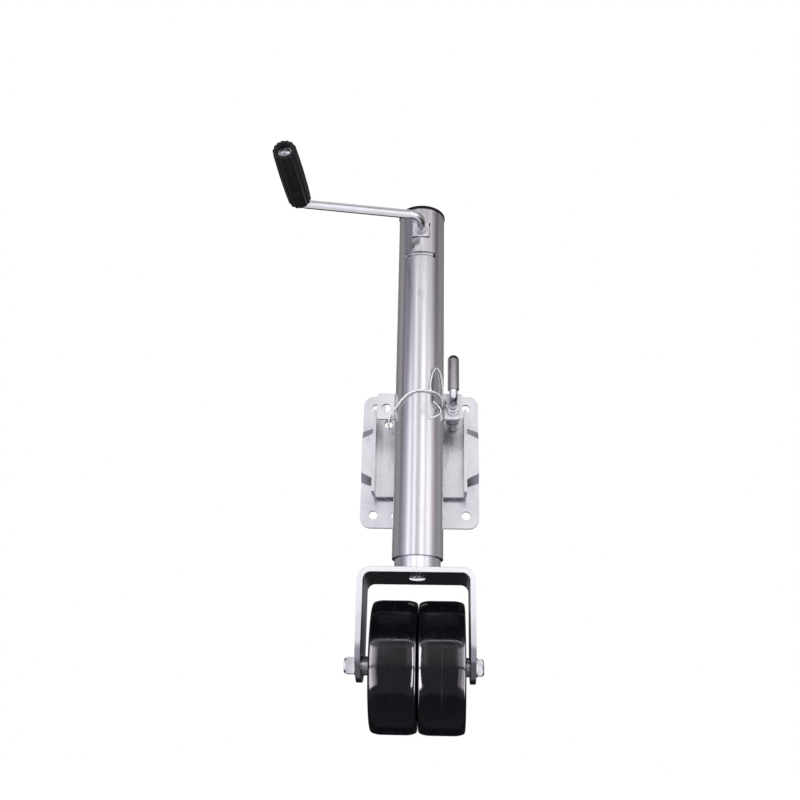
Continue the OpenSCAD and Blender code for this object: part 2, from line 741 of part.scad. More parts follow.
module wheel_bushing_right() color(bronze) at_wheel(1) wheel_bushing();

mount_plate();
pivot_hub();
saddle_channel();
tube_cradle();
lock_ears();
pull_pin();
pin_sleeve();
pin_washer();
pin_cross_pin();
pin_spring();
lanyard();
outer_tube();
top_cap();
shaft_bush_front();
shaft_bush_rear();
crank_rod();
crank_grip();
grip_washer();
grip_screw();
pinion();
pinion_pin();
driven_gear();
gear_pin();
hub_washer();
bearing_plate();
thrust_races();
thrust_balls();
ball_cage();
lead_screw();
drive_nut();
inner_tube();
fork();
axle_bolt();
axle_nut();
axle_washers();
axle_sleeve();
axle_spacers();
wheel_divider();
wheel_left();
wheel_right();
wheel_bushing_left();
wheel_bushing_right();
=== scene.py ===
"""A crank-operated tube jack with a swivel mount and twin wheels.

The tube stands along z at x = 0, y = -78 mm. The viewer is on the -y side, with +x to the
right. z = 0 lies 355.3 mm above the ground. Shapes are given in mm, lights and materials in m.
"""
import bpy, bmesh, json, math
import numpy as np
from math import sin, cos, pi, radians as rad
from mathutils import Vector, Matrix

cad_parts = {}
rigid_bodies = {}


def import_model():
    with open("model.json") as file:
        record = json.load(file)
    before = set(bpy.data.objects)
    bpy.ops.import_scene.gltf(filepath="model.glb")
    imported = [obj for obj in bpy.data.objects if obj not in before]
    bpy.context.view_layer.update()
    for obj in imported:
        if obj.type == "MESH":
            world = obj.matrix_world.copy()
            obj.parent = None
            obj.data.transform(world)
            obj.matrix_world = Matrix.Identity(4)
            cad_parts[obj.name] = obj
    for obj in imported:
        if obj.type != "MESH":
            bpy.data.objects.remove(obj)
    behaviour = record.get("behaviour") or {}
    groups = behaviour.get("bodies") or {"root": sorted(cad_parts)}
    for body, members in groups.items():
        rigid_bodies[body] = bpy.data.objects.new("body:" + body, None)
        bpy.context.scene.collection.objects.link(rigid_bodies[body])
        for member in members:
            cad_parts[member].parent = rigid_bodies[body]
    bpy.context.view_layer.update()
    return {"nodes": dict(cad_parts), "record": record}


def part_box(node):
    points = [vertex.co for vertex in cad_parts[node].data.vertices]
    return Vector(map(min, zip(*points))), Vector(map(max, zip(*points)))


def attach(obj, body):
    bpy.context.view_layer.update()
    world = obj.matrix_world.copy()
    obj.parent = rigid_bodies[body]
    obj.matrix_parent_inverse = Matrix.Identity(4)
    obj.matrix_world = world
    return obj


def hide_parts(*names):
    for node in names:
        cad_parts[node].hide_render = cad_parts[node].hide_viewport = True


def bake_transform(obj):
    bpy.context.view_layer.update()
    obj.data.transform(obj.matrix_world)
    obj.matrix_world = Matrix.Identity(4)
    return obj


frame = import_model()
NODE = frame["nodes"]
JOINT = {joint["name"]: joint for joint in frame["record"]["behaviour"]["joints"]}

MM = 0.001
TUBE_Y = -78.0           # y of the tube's axis
MOUNT_HEIGHT = 355.3     # height of z = 0 above the ground
AXLE_HEIGHT = 76.2       # height of the axle above the ground
PIN_X, PIN_Z = 44.0, 49.0   # axis of the lock pin, which runs along y


# ------------------------------------------------------------------ node tools
class Nodes:
    """Builds a shader node tree from plain calls; results are output sockets."""
    def __init__(self, owner, output):
        owner.use_nodes = True
        self.tree = owner.node_tree
        self.tree.nodes.clear()
        self.out = self.node(output)
        self.texcoord = self.node("TexCoord")
        self.coords = self.texcoord.outputs["Object"]

    def link(self, source, target):
        self.tree.links.new(source, target)

    def set(self, node, key, value):
        """Set or link an input, found by index or by name with _ for a space."""
        if isinstance(key, int):
            socket = node.inputs[key]
        else:
            label = key.replace("_", " ").lower()
            socket = next(s for s in node.inputs if s.name.lower() == label and s.enabled)
        if isinstance(value, bpy.types.NodeSocket):
            self.link(value, socket)
            return
        if isinstance(value, (tuple, list)) and len(value) == 3 and socket.type == "RGBA":
            value = (*value, 1.0)
        socket.default_value = value

    def node(self, kind, *inputs, props=None, **named):
        node = self.tree.nodes.new("ShaderNode" + kind)
        for key, value in (props or {}).items():
            setattr(node, key, value)
        for key, value in [*enumerate(inputs), *named.items()]:
            self.set(node, key, value)
        return node

    def math(self, operation, *values):
        return self.node("Math", *values, props={"operation": operation}).outputs[0]

    def plus(self, value, other, times):
        """value + other * times"""
        return self.math("ADD", value, self.math("MULTIPLY", other, times))

    def noise(self, scale=1.0, detail=2.0, rough=0.5, vector=None, distortion=0.0):
        return self.node("TexNoise", Vector=vector or self.coords, Scale=scale, Detail=detail,
                         Roughness=rough, Distortion=distortion).outputs[0]

    def streaks(self, stretch, detail=2.0, rough=0.5, shift=(0, 0, 0)):
        """Noise with its own scale along each axis."""
        mapped = self.node("Mapping", Vector=self.coords, Location=shift, Scale=stretch)
        return self.noise(detail=detail, rough=rough, vector=mapped.outputs[0])

    def ramp(self, value, stops):
        """Colour ramp from (position, grey or colour) stops."""
        node = self.tree.nodes.new("ShaderNodeValToRGB")
        elements = node.color_ramp.elements
        while len(elements) < len(stops):
            elements.new(0.5)
        for element, (place, shade) in zip(elements, stops):
            element.position = place
            element.color = (*(shade if isinstance(shade, tuple) else (shade,) * 3), 1.0)
        self.set(node, "Fac", value)
        return node.outputs[0]

    def mask(self, value, between):
        """0 below the range, 1 above it."""
        return self.ramp(value, [(between[0], 0.0), (between[1], 1.0)])

    def remap(self, value, span, to):
        return self.node("MapRange", value, *span, *to).outputs[0]

    def mix(self, amount, first, second, blend="MIX"):
        node = self.node("Mix", amount, props={"data_type": "RGBA", "blend_type": blend})
        self.set(node, 6, first)
        self.set(node, 7, second)
        return node.outputs[2]

    def multiply(self, base, other, amount=1.0):
        return self.mix(amount, base, other, "MULTIPLY")

    def cover(self, base, mask, amount, colour):
        """Lay a colour over the base where the mask is white."""
        return self.mix(self.math("MULTIPLY", mask, amount), base, colour)


class Mat(Nodes):
    """A material with one Principled shader."""
    def __init__(self, name, **principled):
        self.material = bpy.data.materials.new(name)
        super().__init__(self.material, "OutputMaterial")
        self.bsdf = self.node("BsdfPrincipled", **principled)
        self.link(self.bsdf.outputs[0], self.out.inputs[0])

    def surface(self, **inputs):
        for key, value in inputs.items():
            self.set(self.bsdf, key, value)

    def relief(self, *layers, edge=None):
        """Stack bumps of (height, strength, distance in m) on edges rounded by edge mm."""
        normal = None
        if edge is not None:
            normal = self.node("Bevel", props={"samples": 6}, Radius=edge * MM).outputs[0]
        for height, strength, distance in layers:
            bump = self.node("Bump", Height=height, Strength=strength, Distance=distance)
            if normal is not None:
                self.set(bump, "Normal", normal)
            normal = bump.outputs[0]
        self.surface(Normal=normal)

    def painted_crease_shade(self, reach, dark=0.22):
        """Painted shade: darkens the colour inside corners, gaps and holes, over a reach in mm."""
        node = self.node("AmbientOcclusion", props={"samples": 6}, Distance=reach * MM)
        return self.ramp(node.outputs["AO"], [(0.10, dark), (0.42, 0.93), (0.65, 1.0)])

    def edges(self, between=(0.52, 0.62)):
        """White along convex edges, for wear."""
        return self.mask(self.node("NewGeometry").outputs["Pointiness"], between)


def scaled(colour, factor):
    return tuple(min(1, channel * factor) for channel in colour)


# ------------------------------------------------------------------ materials
def zinc(name, tint, rough, grain, dirt, blotch=0.10, grain_dir=(1, 1, 1), wear=0.35,
         spangle=0.0, texture=1.0, edge=0.6, crease=5.0, marks=0.22):
    """Passivated zinc plate on steel: faint iridescent clouding, rolled grain, rub marks, and painted
    shade in corners and holes.
    """
    mat = Mat(name, Metallic=1.0, IOR=1.9)
    cloud = mat.noise(scale=34.0, detail=4.0, rough=0.58)
    broad = mat.noise(scale=11.0, detail=3.0, distortion=0.4)
    rolled = mat.streaks(tuple(260.0 * k for k in grain_dir), detail=3.0, rough=0.6)
    fine = mat.noise(scale=1900.0)
    base = mat.ramp(cloud, [(0.30, scaled(tint, 1 - blotch)), (0.5, tint),
                            (0.72, scaled(tint, 1 + blotch * 0.8))])
    # passivation tints: faint blue, pink and straw
    hue = mat.ramp(broad, [(0.30, (0.93, 0.97, 1.0)), (0.48, (1, 1, 1)),
                           (0.62, (1.0, 0.955, 0.985)), (0.78, (1.0, 0.985, 0.93))])
    base = mat.multiply(base, hue, amount=0.75)
    base = mat.multiply(base, mat.ramp(rolled, [(0.30, 0.86), (0.55, 1.0), (0.75, 1.0)]), grain)
    if spangle:
        cells = mat.node("TexVoronoi", Vector=mat.coords, Scale=170.0).outputs["Color"]
        cell_value = mat.node("SeparateColor", cells).outputs[0]
        base = mat.multiply(base, mat.ramp(cell_value, [(0.0, 0.80), (1.0, 1.0)]), spangle)
    # handling marks and grime
    grime = mat.mask(mat.streaks((90, 90, 14), shift=(3, 1, 2)), between=(0.58, 0.74))
    scratches = mat.mask(mat.streaks((1500, 1500, 40), detail=1.0, shift=(1, 5, 2)),
                         between=(0.66, 0.69))
    base = mat.cover(base, grime, dirt, (0.30, 0.29, 0.29))
    base = mat.cover(base, mat.edges((0.515, 0.60)), wear, (0.93, 0.93, 0.95))
    base = mat.cover(base, scratches, marks, (0.95, 0.95, 0.96))
    # painted shade: the colour is darkened in corners, gaps and holes
    base = mat.multiply(base, mat.painted_crease_shade(crease))
    gloss = mat.remap(cloud, span=(0.25, 0.8), to=(rough - 0.06, rough + 0.10))
    gloss = mat.plus(gloss, grime, times=0.16)
    gloss = mat.math("ADD", gloss, mat.remap(rolled, span=(0.3, 0.7), to=(-0.03, 0.05)))
    mat.surface(Base_Color=base, Roughness=gloss)
    mat.relief((rolled, 0.08 * texture, 0.0003), (fine, 0.07 * texture, 0.00010),
               (cloud, 0.04 * texture, 0.0010), edge=edge)
    return mat.material


# (bearing round the tube, tint): partly zinc tint, partly painted reflection streaks, lighter towards
# the viewer; 0.5 faces the viewer, 0.75 faces +x
TUBE_TINTS_AND_PAINTED_REFLECTIONS = [
    (0.00, (0.66, 0.67, 0.67)), (0.10, (0.74, 0.76, 0.78)), (0.22, (0.66, 0.66, 0.64)),
    (0.315, (0.69, 0.675, 0.68)), (0.37, (0.76, 0.735, 0.80)), (0.44, (0.82, 0.82, 0.85)),
    (0.50, (0.78, 0.78, 0.80)), (0.555, (0.90, 0.90, 0.92)), (0.595, (0.78, 0.76, 0.82)),
    (0.635, (0.75, 0.715, 0.755)), (0.69, (0.66, 0.66, 0.68)), (0.80, (0.74, 0.75, 0.76)),
    (0.90, (0.70, 0.69, 0.72)), (1.0, (0.66, 0.67, 0.67))]


def tube_zinc(name, rough):
    """Drawn tube in bright zinc: vertical draw lines, tints mixed with painted reflection streaks
    that run up the tube, and painted shade in corners.
    """
    mat = Mat(name, Metallic=1.0, IOR=1.9)
    x, y, z = mat.node("SeparateXYZ", mat.coords).outputs
    depth = mat.math("MULTIPLY", mat.math("SUBTRACT", y, TUBE_Y * MM), -1.0)
    bearing = mat.math("ARCTAN2", mat.math("SUBTRACT", x, 0.0), depth)
    turn = mat.math("DIVIDE", bearing, 2 * pi)            # -0.5 .. 0.5, 0 faces the viewer
    wobble = mat.math("MULTIPLY", mat.math("SUBTRACT", mat.noise(scale=7.0), 0.5), 0.02)
    wavy_turn = mat.math("ADD", turn, wobble)

    def draw_lines(turn, around, up, offset, detail, rough):
        vector = mat.node("CombineXYZ", mat.math("MULTIPLY", turn, around), offset,
                          mat.math("MULTIPLY", z, up)).outputs[0]
        return mat.noise(detail=detail, rough=rough, vector=vector)

    broad = draw_lines(wavy_turn, around=46.0, up=2.2, offset=0.0, detail=4.0, rough=0.65)
    narrow = draw_lines(turn, around=160.0, up=6.0, offset=7.0, detail=3.0, rough=0.6)
    hair = draw_lines(turn, around=620.0, up=16.0, offset=3.0, detail=2.0, rough=0.6)
    cloud = mat.noise(scale=16.0, detail=4.0, rough=0.55, distortion=0.6)
    # colour round the tube: real tints and painted reflection streaks
    base = mat.ramp(mat.math("ADD", wavy_turn, 0.5), TUBE_TINTS_AND_PAINTED_REFLECTIONS)
    base = mat.multiply(base, mat.ramp(broad, [(0.30, 0.62), (0.45, 0.86), (0.55, 1.0),
                                               (0.75, 1.0)]), amount=0.85)
    base = mat.multiply(base, mat.ramp(narrow, [(0.32, 0.80), (0.55, 1.0), (0.8, 1.0)]),
                        amount=0.5)
    base = mat.multiply(base, mat.ramp(cloud, [(0.3, (0.90, 0.92, 0.98)), (0.5, (1, 1, 1)),
                                               (0.7, (1.0, 0.95, 0.93))]), amount=0.5)
    marks = mat.mask(mat.streaks((60, 60, 26), detail=3.0, rough=0.6, shift=(4, 2, 8)),
                     between=(0.60, 0.75))
    base = mat.cover(base, marks, 0.22, (0.34, 0.32, 0.32))
    scuffs = mat.mask(mat.streaks((260, 260, 1500), detail=1.0, shift=(9, 2, 1)),
                      between=(0.70, 0.73))
    base = mat.cover(base, scuffs, 0.30, (0.95, 0.95, 0.96))
    base = mat.cover(base, mat.edges(), 0.4, (0.93, 0.93, 0.95))
    # painted shade: the colour is darkened in corners, gaps and holes
    base = mat.multiply(base, mat.painted_crease_shade(reach=4.0, dark=0.3))
    gloss = mat.remap(broad, span=(0.3, 0.75), to=(rough + 0.12, rough - 0.06))
    gloss = mat.plus(gloss, marks, times=0.14)
    gloss = mat.plus(gloss, scuffs, times=0.10)
    mat.surface(Base_Color=base, Roughness=gloss)
    mat.relief((narrow, 0.16, 0.0005), (hair, 0.14, 0.00018), (cloud, 0.05, 0.0022), edge=0.45)
    return mat.material


def bright_steel(name, tint, rough, tooling=(900, 900, 900)):
    """Bright zinc-plated fastener: crisp, with faint tooling marks, rubbed edges and painted shade in
    recesses.
    """
    mat = Mat(name, Metallic=1.0, IOR=2.0)
    cloud = mat.noise(scale=120.0, detail=3.0, rough=0.6)
    tooled = mat.streaks(tooling, rough=0.6)
    base = mat.ramp(cloud, [(0.3, scaled(tint, 0.84)), (0.6, tint), (0.8, scaled(tint, 1.1))])
    base = mat.multiply(base, mat.ramp(tooled, [(0.3, 0.8), (0.6, 1.0)]), amount=0.35)
    base = mat.cover(base, mat.edges((0.52, 0.64)), 0.5, (0.95, 0.95, 0.96))
    grime = mat.mask(mat.noise(scale=60.0, detail=3.0, rough=0.6), between=(0.58, 0.8))
    base = mat.cover(base, grime, 0.35, (0.22, 0.21, 0.20))
    # painted shade: the colour is darkened in corners, gaps and holes
    base = mat.multiply(base, mat.painted_crease_shade(reach=3.0, dark=0.25))
    gloss = mat.remap(cloud, span=(0.2, 0.8), to=(rough - 0.04, rough + 0.12))
    mat.surface(Base_Color=base, Roughness=mat.plus(gloss, grime, times=0.15))
    mat.relief((tooled, 0.12, 0.00015), (cloud, 0.05, 0.0006), edge=0.3)
    return mat.material


def plastic(name, base, rough, texture, dust, scuff, texture_scale=2600.0, specular=0.5):
    """Moulded plastic: fine surface texture, pale dust, rubbed high spots."""
    mat = Mat(name, Metallic=0.0, IOR=1.5)
    cloud = mat.noise(scale=28.0, detail=4.0, rough=0.6)
    fine = mat.noise(scale=texture_scale)
    rubbed = mat.mask(mat.streaks((240, 60, 240), detail=3.0, rough=0.65), between=(0.52, 0.75))
    colour = mat.ramp(cloud, [(0.3, scaled(base, 0.8)), (0.7, scaled(base, 1.5))])
    colour = mat.cover(colour, mat.edges(), scuff, (0.10, 0.10, 0.105))
    dusty = mat.mask(mat.noise(scale=75.0, detail=5.0, rough=0.7), between=(0.55, 0.80))
    colour = mat.cover(colour, dusty, dust, (0.30, 0.29, 0.28))
    gloss = mat.remap(cloud, span=(0.25, 0.75), to=(rough - 0.06, rough + 0.08))
    # rubbing polishes a matt surface and dulls a glossy one
    gloss = mat.plus(gloss, rubbed, times=-0.08 if rough > 0.35 else 0.05)
    gloss = mat.plus(gloss, dusty, times=0.15)
    mat.surface(Base_Color=colour, Roughness=gloss, Specular_IOR_Level=specular)
    mat.relief((fine, texture, 0.00012), (cloud, 0.06, 0.0015), edge=0.4)
    return mat.material


def gunmetal(name, tint, rough):
    """Dark steel with streaks along z and rubbed edges."""
    mat = Mat(name, Metallic=1.0, IOR=2.0)
    cloud = mat.noise(scale=90.0, detail=4.0, rough=0.6)
    streaks = mat.streaks((700, 700, 30), detail=3.0, rough=0.6)
    base = mat.ramp(cloud, [(0.3, scaled(tint, 0.7)), (0.55, tint), (0.8, scaled(tint, 1.5))])
    base = mat.multiply(base, mat.ramp(streaks, [(0.35, 0.6), (0.65, 1.0)]), amount=0.5)
    base = mat.cover(base, mat.edges(), 0.55, (0.62, 0.60, 0.58))
    gloss = mat.remap(cloud, span=(0.2, 0.8), to=(rough - 0.08, rough + 0.12))
    mat.surface(Base_Color=base, Roughness=gloss)
    mat.relief((cloud, 0.12, 0.0005), (streaks, 0.12, 0.0003), edge=0.3)
    return mat.material


def bronze(name, tint=(0.60, 0.40, 0.19), rough=0.34):
    """Blotched bronze with bright edges."""
    mat = Mat(name, Metallic=1.0, IOR=1.6)
    cloud = mat.noise(scale=70.0, detail=5.0, rough=0.65)
    fine = mat.noise(scale=2200.0)
    base = mat.ramp(cloud, [(0.3, scaled(tint, 0.55)), (0.5, tint), (0.75, (0.74, 0.53, 0.29))])
    base = mat.cover(base, mat.edges(), 0.5, (0.85, 0.66, 0.38))
    gloss = mat.remap(cloud, span=(0.2, 0.8), to=(rough - 0.08, rough + 0.15))
    mat.surface(Base_Color=base, Roughness=gloss)
    mat.relief((cloud, 0.1, 0.0006), (fine, 0.2, 0.0001), edge=0.3)
    return mat.material


def cord_plastic(name):
    """Milky vinyl-coated cord: a cloudy coat that lets some light in."""
    mat = Mat(name, Metallic=0.0, IOR=1.45)
    cloud = mat.noise(scale=260.0, detail=3.0, rough=0.6)
    mat.surface(
        Base_Color=mat.ramp(cloud, [(0.3, (0.74, 0.77, 0.79)), (0.7, (0.90, 0.92, 0.93))]),
        Roughness=mat.remap(cloud, span=(0.2, 0.8), to=(0.10, 0.30)),
        Transmission_Weight=mat.remap(cloud, span=(0.2, 0.8), to=(0.50, 0.34)),
        Subsurface_Weight=0.35, Subsurface_Radius=(0.0015, 0.0014, 0.0013))
    mat.relief((cloud, 0.15, 0.0002))
    return mat.material


TUBE = tube_zinc("zinc_tube", rough=0.13)
INNER = tube_zinc("zinc_inner_tube", rough=0.14)
SHEET = zinc("zinc_pressed_sheet", tint=(0.79, 0.79, 0.835), rough=0.22, grain=0.25, dirt=0.18,
             grain_dir=(0.25, 1, 1), spangle=0.08, texture=0.5, edge=0.7, blotch=0.13)
SADDLE = zinc("zinc_saddle", tint=(0.76, 0.76, 0.785), rough=0.25, grain=0.35, dirt=0.2,
              grain_dir=(1, 1, 0.15), spangle=0.08, blotch=0.12, texture=0.35)
FORK = zinc("zinc_fork", tint=(0.89, 0.89, 0.92), rough=0.20, grain=0.12, dirt=0.05,
            grain_dir=(0.12, 1, 1), blotch=0.05, texture=0.15, edge=0.9, wear=0.2, crease=4.0,
            marks=0.05)
EAR = zinc("zinc_ear", tint=(0.86, 0.86, 0.89), rough=0.24, grain=0.25, dirt=0.12, crease=3.0)
ROD = zinc("zinc_rod", tint=(0.90, 0.90, 0.92), rough=0.19, grain=0.2, dirt=0.10,
           grain_dir=(0.1, 1, 1), blotch=0.07, crease=2.5)
BRIGHT = bright_steel("zinc_bright", tint=(0.80, 0.81, 0.84), rough=0.20)
BOLT = bright_steel("zinc_bolt", tint=(0.88, 0.88, 0.90), rough=0.22)
NUT = bright_steel("zinc_nut", tint=(0.66, 0.65, 0.71), rough=0.24)
PIN = bright_steel("zinc_pin", tint=(0.84, 0.85, 0.87), rough=0.18, tooling=(900, 120, 900))
PLUG = bright_steel("zinc_plug", tint=(0.90, 0.90, 0.92), rough=0.24)
BALL = bright_steel("bearing_steel", tint=(0.82, 0.83, 0.85), rough=0.10)
SLEEVE = gunmetal("gunmetal_sleeve", tint=(0.40, 0.375, 0.395), rough=0.30)
GEAR = gunmetal("gear_steel", tint=(0.30, 0.30, 0.31), rough=0.36)
SCREW = gunmetal("screw_steel", tint=(0.34, 0.335, 0.33), rough=0.30)
BRONZE = bronze("bronze")
GRIP = plastic("black_grip", base=(0.0055, 0.0055, 0.0068), rough=0.46, texture=0.30,
               dust=0.018, scuff=0.22, specular=0.34)
CAP = plastic("black_cap", base=(0.0045, 0.0042, 0.0048), rough=0.50, texture=0.2, dust=0.02,
              scuff=0.06, specular=0.16)
WHEEL = plastic("black_wheel", base=(0.0022, 0.0020, 0.0032), rough=0.10, texture=0.03,
                texture_scale=900.0, dust=0.004, scuff=0.03)
CORD = cord_plastic("clear_cord")
WELD = zinc("zinc_weld", tint=(0.62, 0.62, 0.64), rough=0.36, grain=0.3, dirt=0.45, blotch=0.2)
SPRING = bright_steel("spring_wire", tint=(0.78, 0.78, 0.80), rough=0.22)
TREAD_LINE = plastic("tread_line", base=(0.0045, 0.0042, 0.0058), rough=0.13, texture=0.05,
                     dust=0.008, scuff=0.05)
NYLON = plastic("nylon_insert", base=(0.50, 0.50, 0.47), rough=0.45, texture=0.2, dust=0.2,
                scuff=0.05)

# material, CAD pieces that wear it
FINISHES = (
    (SHEET, "mount_plate"),
    (SADDLE, "pivot_hub saddle_channel tube_cradle bearing_plate axle_sleeve axle_spacers "
             "wheel_divider"),
    (EAR, "lock_ears shaft_bush_front"),
    (PIN, "pull_pin"),
    (SLEEVE, "pin_sleeve"),
    (BRIGHT, "pin_washer pin_cross_pin pin_spring grip_washer grip_screw pinion_pin gear_pin "
             "hub_washer axle_washers"),
    (CORD, "lanyard"),
    (TUBE, "outer_tube"),
    (INNER, "inner_tube"),
    (CAP, "top_cap"),
    (BRONZE, "shaft_bush_rear ball_cage drive_nut wheel_bushing_left wheel_bushing_right"),
    (ROD, "crank_rod"),
    (GRIP, "crank_grip"),
    (GEAR, "pinion driven_gear"),
    (BALL, "thrust_races thrust_balls"),
    (SCREW, "lead_screw"),
    (FORK, "fork"),
    (BOLT, "axle_bolt"),
    (NUT, "axle_nut"),
    (WHEEL, "wheel_left wheel_right"))
FINISH_OF = {piece: material for material, pieces in FINISHES for piece in pieces.split()}


# ------------------------------------------------------------------ CAD pieces
def clean_group():
    """Drop imported normals, join split vertices, smooth all but the sharp edges."""
    group = bpy.data.node_groups.new("clean_shading", "GeometryNodeTree")
    for direction in ("INPUT", "OUTPUT"):
        group.interface.new_socket("Geometry", in_out=direction,
                                   socket_type="NodeSocketGeometry")
    new, link = group.nodes.new, group.links.new
    group_in, group_out = new("NodeGroupInput"), new("NodeGroupOutput")
    drop = new("GeometryNodeRemoveAttribute")
    drop.inputs["Name"].default_value = "custom_normal"
    merge = new("GeometryNodeMergeByDistance")
    merge.inputs["Distance"].default_value = 2e-6
    smooth = new("GeometryNodeSetShadeSmooth")
    smooth.domain = "FACE"
    smooth.inputs["Shade Smooth"].default_value = True
    angle = new("GeometryNodeInputMeshEdgeAngle")
    is_sharp = new("FunctionNodeCompare")
    is_sharp.data_type = "FLOAT"
    is_sharp.operation = "GREATER_THAN"
    is_sharp.inputs[1].default_value = rad(32)
    sharpen = new("GeometryNodeSetShadeSmooth")
    sharpen.domain = "EDGE"
    sharpen.inputs["Shade Smooth"].default_value = False
    link(group_in.outputs[0], drop.inputs["Geometry"])
    link(drop.outputs[0], merge.inputs["Geometry"])
    link(merge.outputs[0], smooth.inputs["Geometry"])
    link(smooth.outputs[0], sharpen.inputs["Geometry"])
    link(angle.outputs["Unsigned Angle"], is_sharp.inputs[0])
    link(is_sharp.outputs[0], sharpen.inputs["Selection"])
    link(sharpen.outputs[0], group_out.inputs[0])
    return group


def dress_cad_pieces():
    clean = clean_group()
    for name, piece in NODE.items():
        if not piece.data.materials:
            piece.data.materials.append(FINISH_OF[name])
        for slot in piece.material_slots:
            slot.link = "OBJECT"
            slot.material = FINISH_OF[name]
        piece.modifiers.new("clean", "NODES").node_group = clean


# ------------------------------------------------------------------ shape tools
def box_mm(name):
    """Low and high corners of a CAD piece in mm."""
    return [np.array(corner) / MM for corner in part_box(name)]


def joint_mm(name):
    return np.array(JOINT[name]["pos_m"]) / MM


def skin(name, parts, material, body=None, sharp=35):
    """One mesh from parts; each part is (rings of points in mm, whether the last joins the first)."""
    verts, faces = [], []
    for rings, closed in parts:
        base, count, n = len(verts), len(rings), len(rings[0])
        verts += [tuple(float(c) * MM for c in point) for ring in rings for point in ring]
        for i in range(count if closed else count - 1):
            j = (i + 1) % count
            for k in range(n):
                k2 = (k + 1) % n
                faces.append((base + i * n + k, base + i * n + k2,
                              base + j * n + k2, base + j * n + k))
        if not closed:
            faces.append(tuple(base + k for k in range(n))[::-1])
            faces.append(tuple(base + (count - 1) * n + k for k in range(n)))
    mesh = bpy.data.meshes.new(name)
    mesh.from_pydata(verts, [], faces)
    bm = bmesh.new()
    bm.from_mesh(mesh)
    bmesh.ops.recalc_face_normals(bm, faces=bm.faces)
    bm.to_mesh(mesh)
    bm.free()
    mesh.polygons.foreach_set("use_smooth", [True] * len(mesh.polygons))
    mesh.set_sharp_from_angle(angle=rad(sharp))
    mesh.materials.append(material)
    made = bpy.data.objects.new(name, mesh)
    bpy.context.scene.collection.objects.link(made)
    if body:
        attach(made, body)
    return made


def unit(vector):
    return vector / np.linalg.norm(vector)


def square_to(axis):
    """A unit vector at right angles to the axis."""
    return unit(np.cross(axis, (0, 0, 1.0) if abs(axis[2]) < 0.9 else (1.0, 0, 0)))


def sweep(path, radius, loop=False):
    """A round bar along a path, domed at its ends unless it loops; radius may be a list."""
    path = np.asarray(path, float)
    count = len(path)
    radii = np.full(count, radius, float)
    if loop:
        tangents = np.roll(path, -1, 0) - np.roll(path, 1, 0)
    else:
        tangents = np.gradient(path, axis=0)
    tangents /= np.linalg.norm(tangents, axis=1, keepdims=True)
    normals = [square_to(tangents[0])]
    for tangent in tangents[1:]:
        normals.append(unit(normals[-1] - tangent * np.dot(normals[-1], tangent)))
    normals = np.array(normals)
    sides = np.cross(tangents, normals)
    angles = (np.arange(12) * 2 * pi / 12)[:, None]

    def ring(i, shrink=1.0, offset=0.0):
        spokes = np.cos(angles) * normals[i] + np.sin(angles) * sides[i]
        return path[i] + tangents[i] * offset + radii[i] * shrink * spokes

    rings = [ring(i) for i in range(count)]
    if not loop:
        last = count - 1
        dome = (rad(28), rad(55), rad(80))
        rings = ([ring(0, cos(q), -radii[0] * sin(q)) for q in dome[::-1]] + rings
                 + [ring(last, cos(q), radii[last] * sin(q)) for q in dome])
    return rings, loop


def curve(points, per):
    """Smooth path through points, with so many steps per span."""
    points = np.array(points, float)
    count = len(points)
    path = []
    for i in range(count - 1):
        a, b, c, d = (points[min(max(k, 0), count - 1)] for k in range(i - 1, i + 3))
        for k in range(per):
            t = k / per
            path.append(0.5 * ((2 * b) + (c - a) * t + (2 * a - 5 * b + 4 * c - d) * t * t
                               + (3 * b - a - 3 * c + d) * t ** 3))
    path.append(points[-1])
    return np.array(path)


def lathe(profile, centre, axis, n, cut=None):
    """Turn (distance along the axis, radius) points round it.

    With cut, a third column scales the depth cut(angle) taken off the radius.
    """
    axis = unit(np.array(axis, float))
    across = square_to(axis)
    up = np.cross(axis, across)
    angles = np.arange(n) * 2 * pi / n
    spokes = np.cos(angles)[:, None] * across + np.sin(angles)[:, None] * up
    rings = []
    for along, radius, *depth in profile:
        radii = np.full(n, float(radius))
        if cut is not None:
            radii = radii - depth[0] * cut(angles)
        rings.append(np.array(centre, float) + axis * along + radii[:, None] * spokes)
    return rings, True


def bead(path, radius, seed, pitch=1.9):
    """Path and radii of a weld bead: overlapping ripples, slightly uneven."""
    path = np.asarray(path, float)
    lengths = np.concatenate([[0], np.cumsum(np.linalg.norm(np.diff(path, axis=0), axis=1))])
    total = lengths[-1]
    t = np.linspace(0, total, max(8, int(total / 0.38)))
    path = np.stack([np.interp(t, lengths, path[:, k]) for k in range(3)], 1)
    generator = np.random.default_rng(100 + seed)
    knots = max(3, int(total / 5))
    drift = np.interp(t, np.linspace(0, total, knots), generator.uniform(-1, 1, knots))
    generator.normal(0, 1, 3)    # keeps the sequence of draws; the values have no effect
    path += drift[:, None] * 0.16
    ripple = np.abs(np.sin(pi * (t + drift * 0.4) / pitch))
    return path, radius * (0.80 + 0.20 * ripple ** 0.6) * (1 + 0.06 * drift)


# ------------------------------------------------------------------ pieces made here
FLUTES, FLUTE_DEPTH = 14, 1.05
GRIP_START, GRIP_END = -54.6, 47.8        # ends of the swelling body
GRIP_RADIUS, GRIP_SWELL, GRIP_TAPER = 15.15, 0.95, 0.45
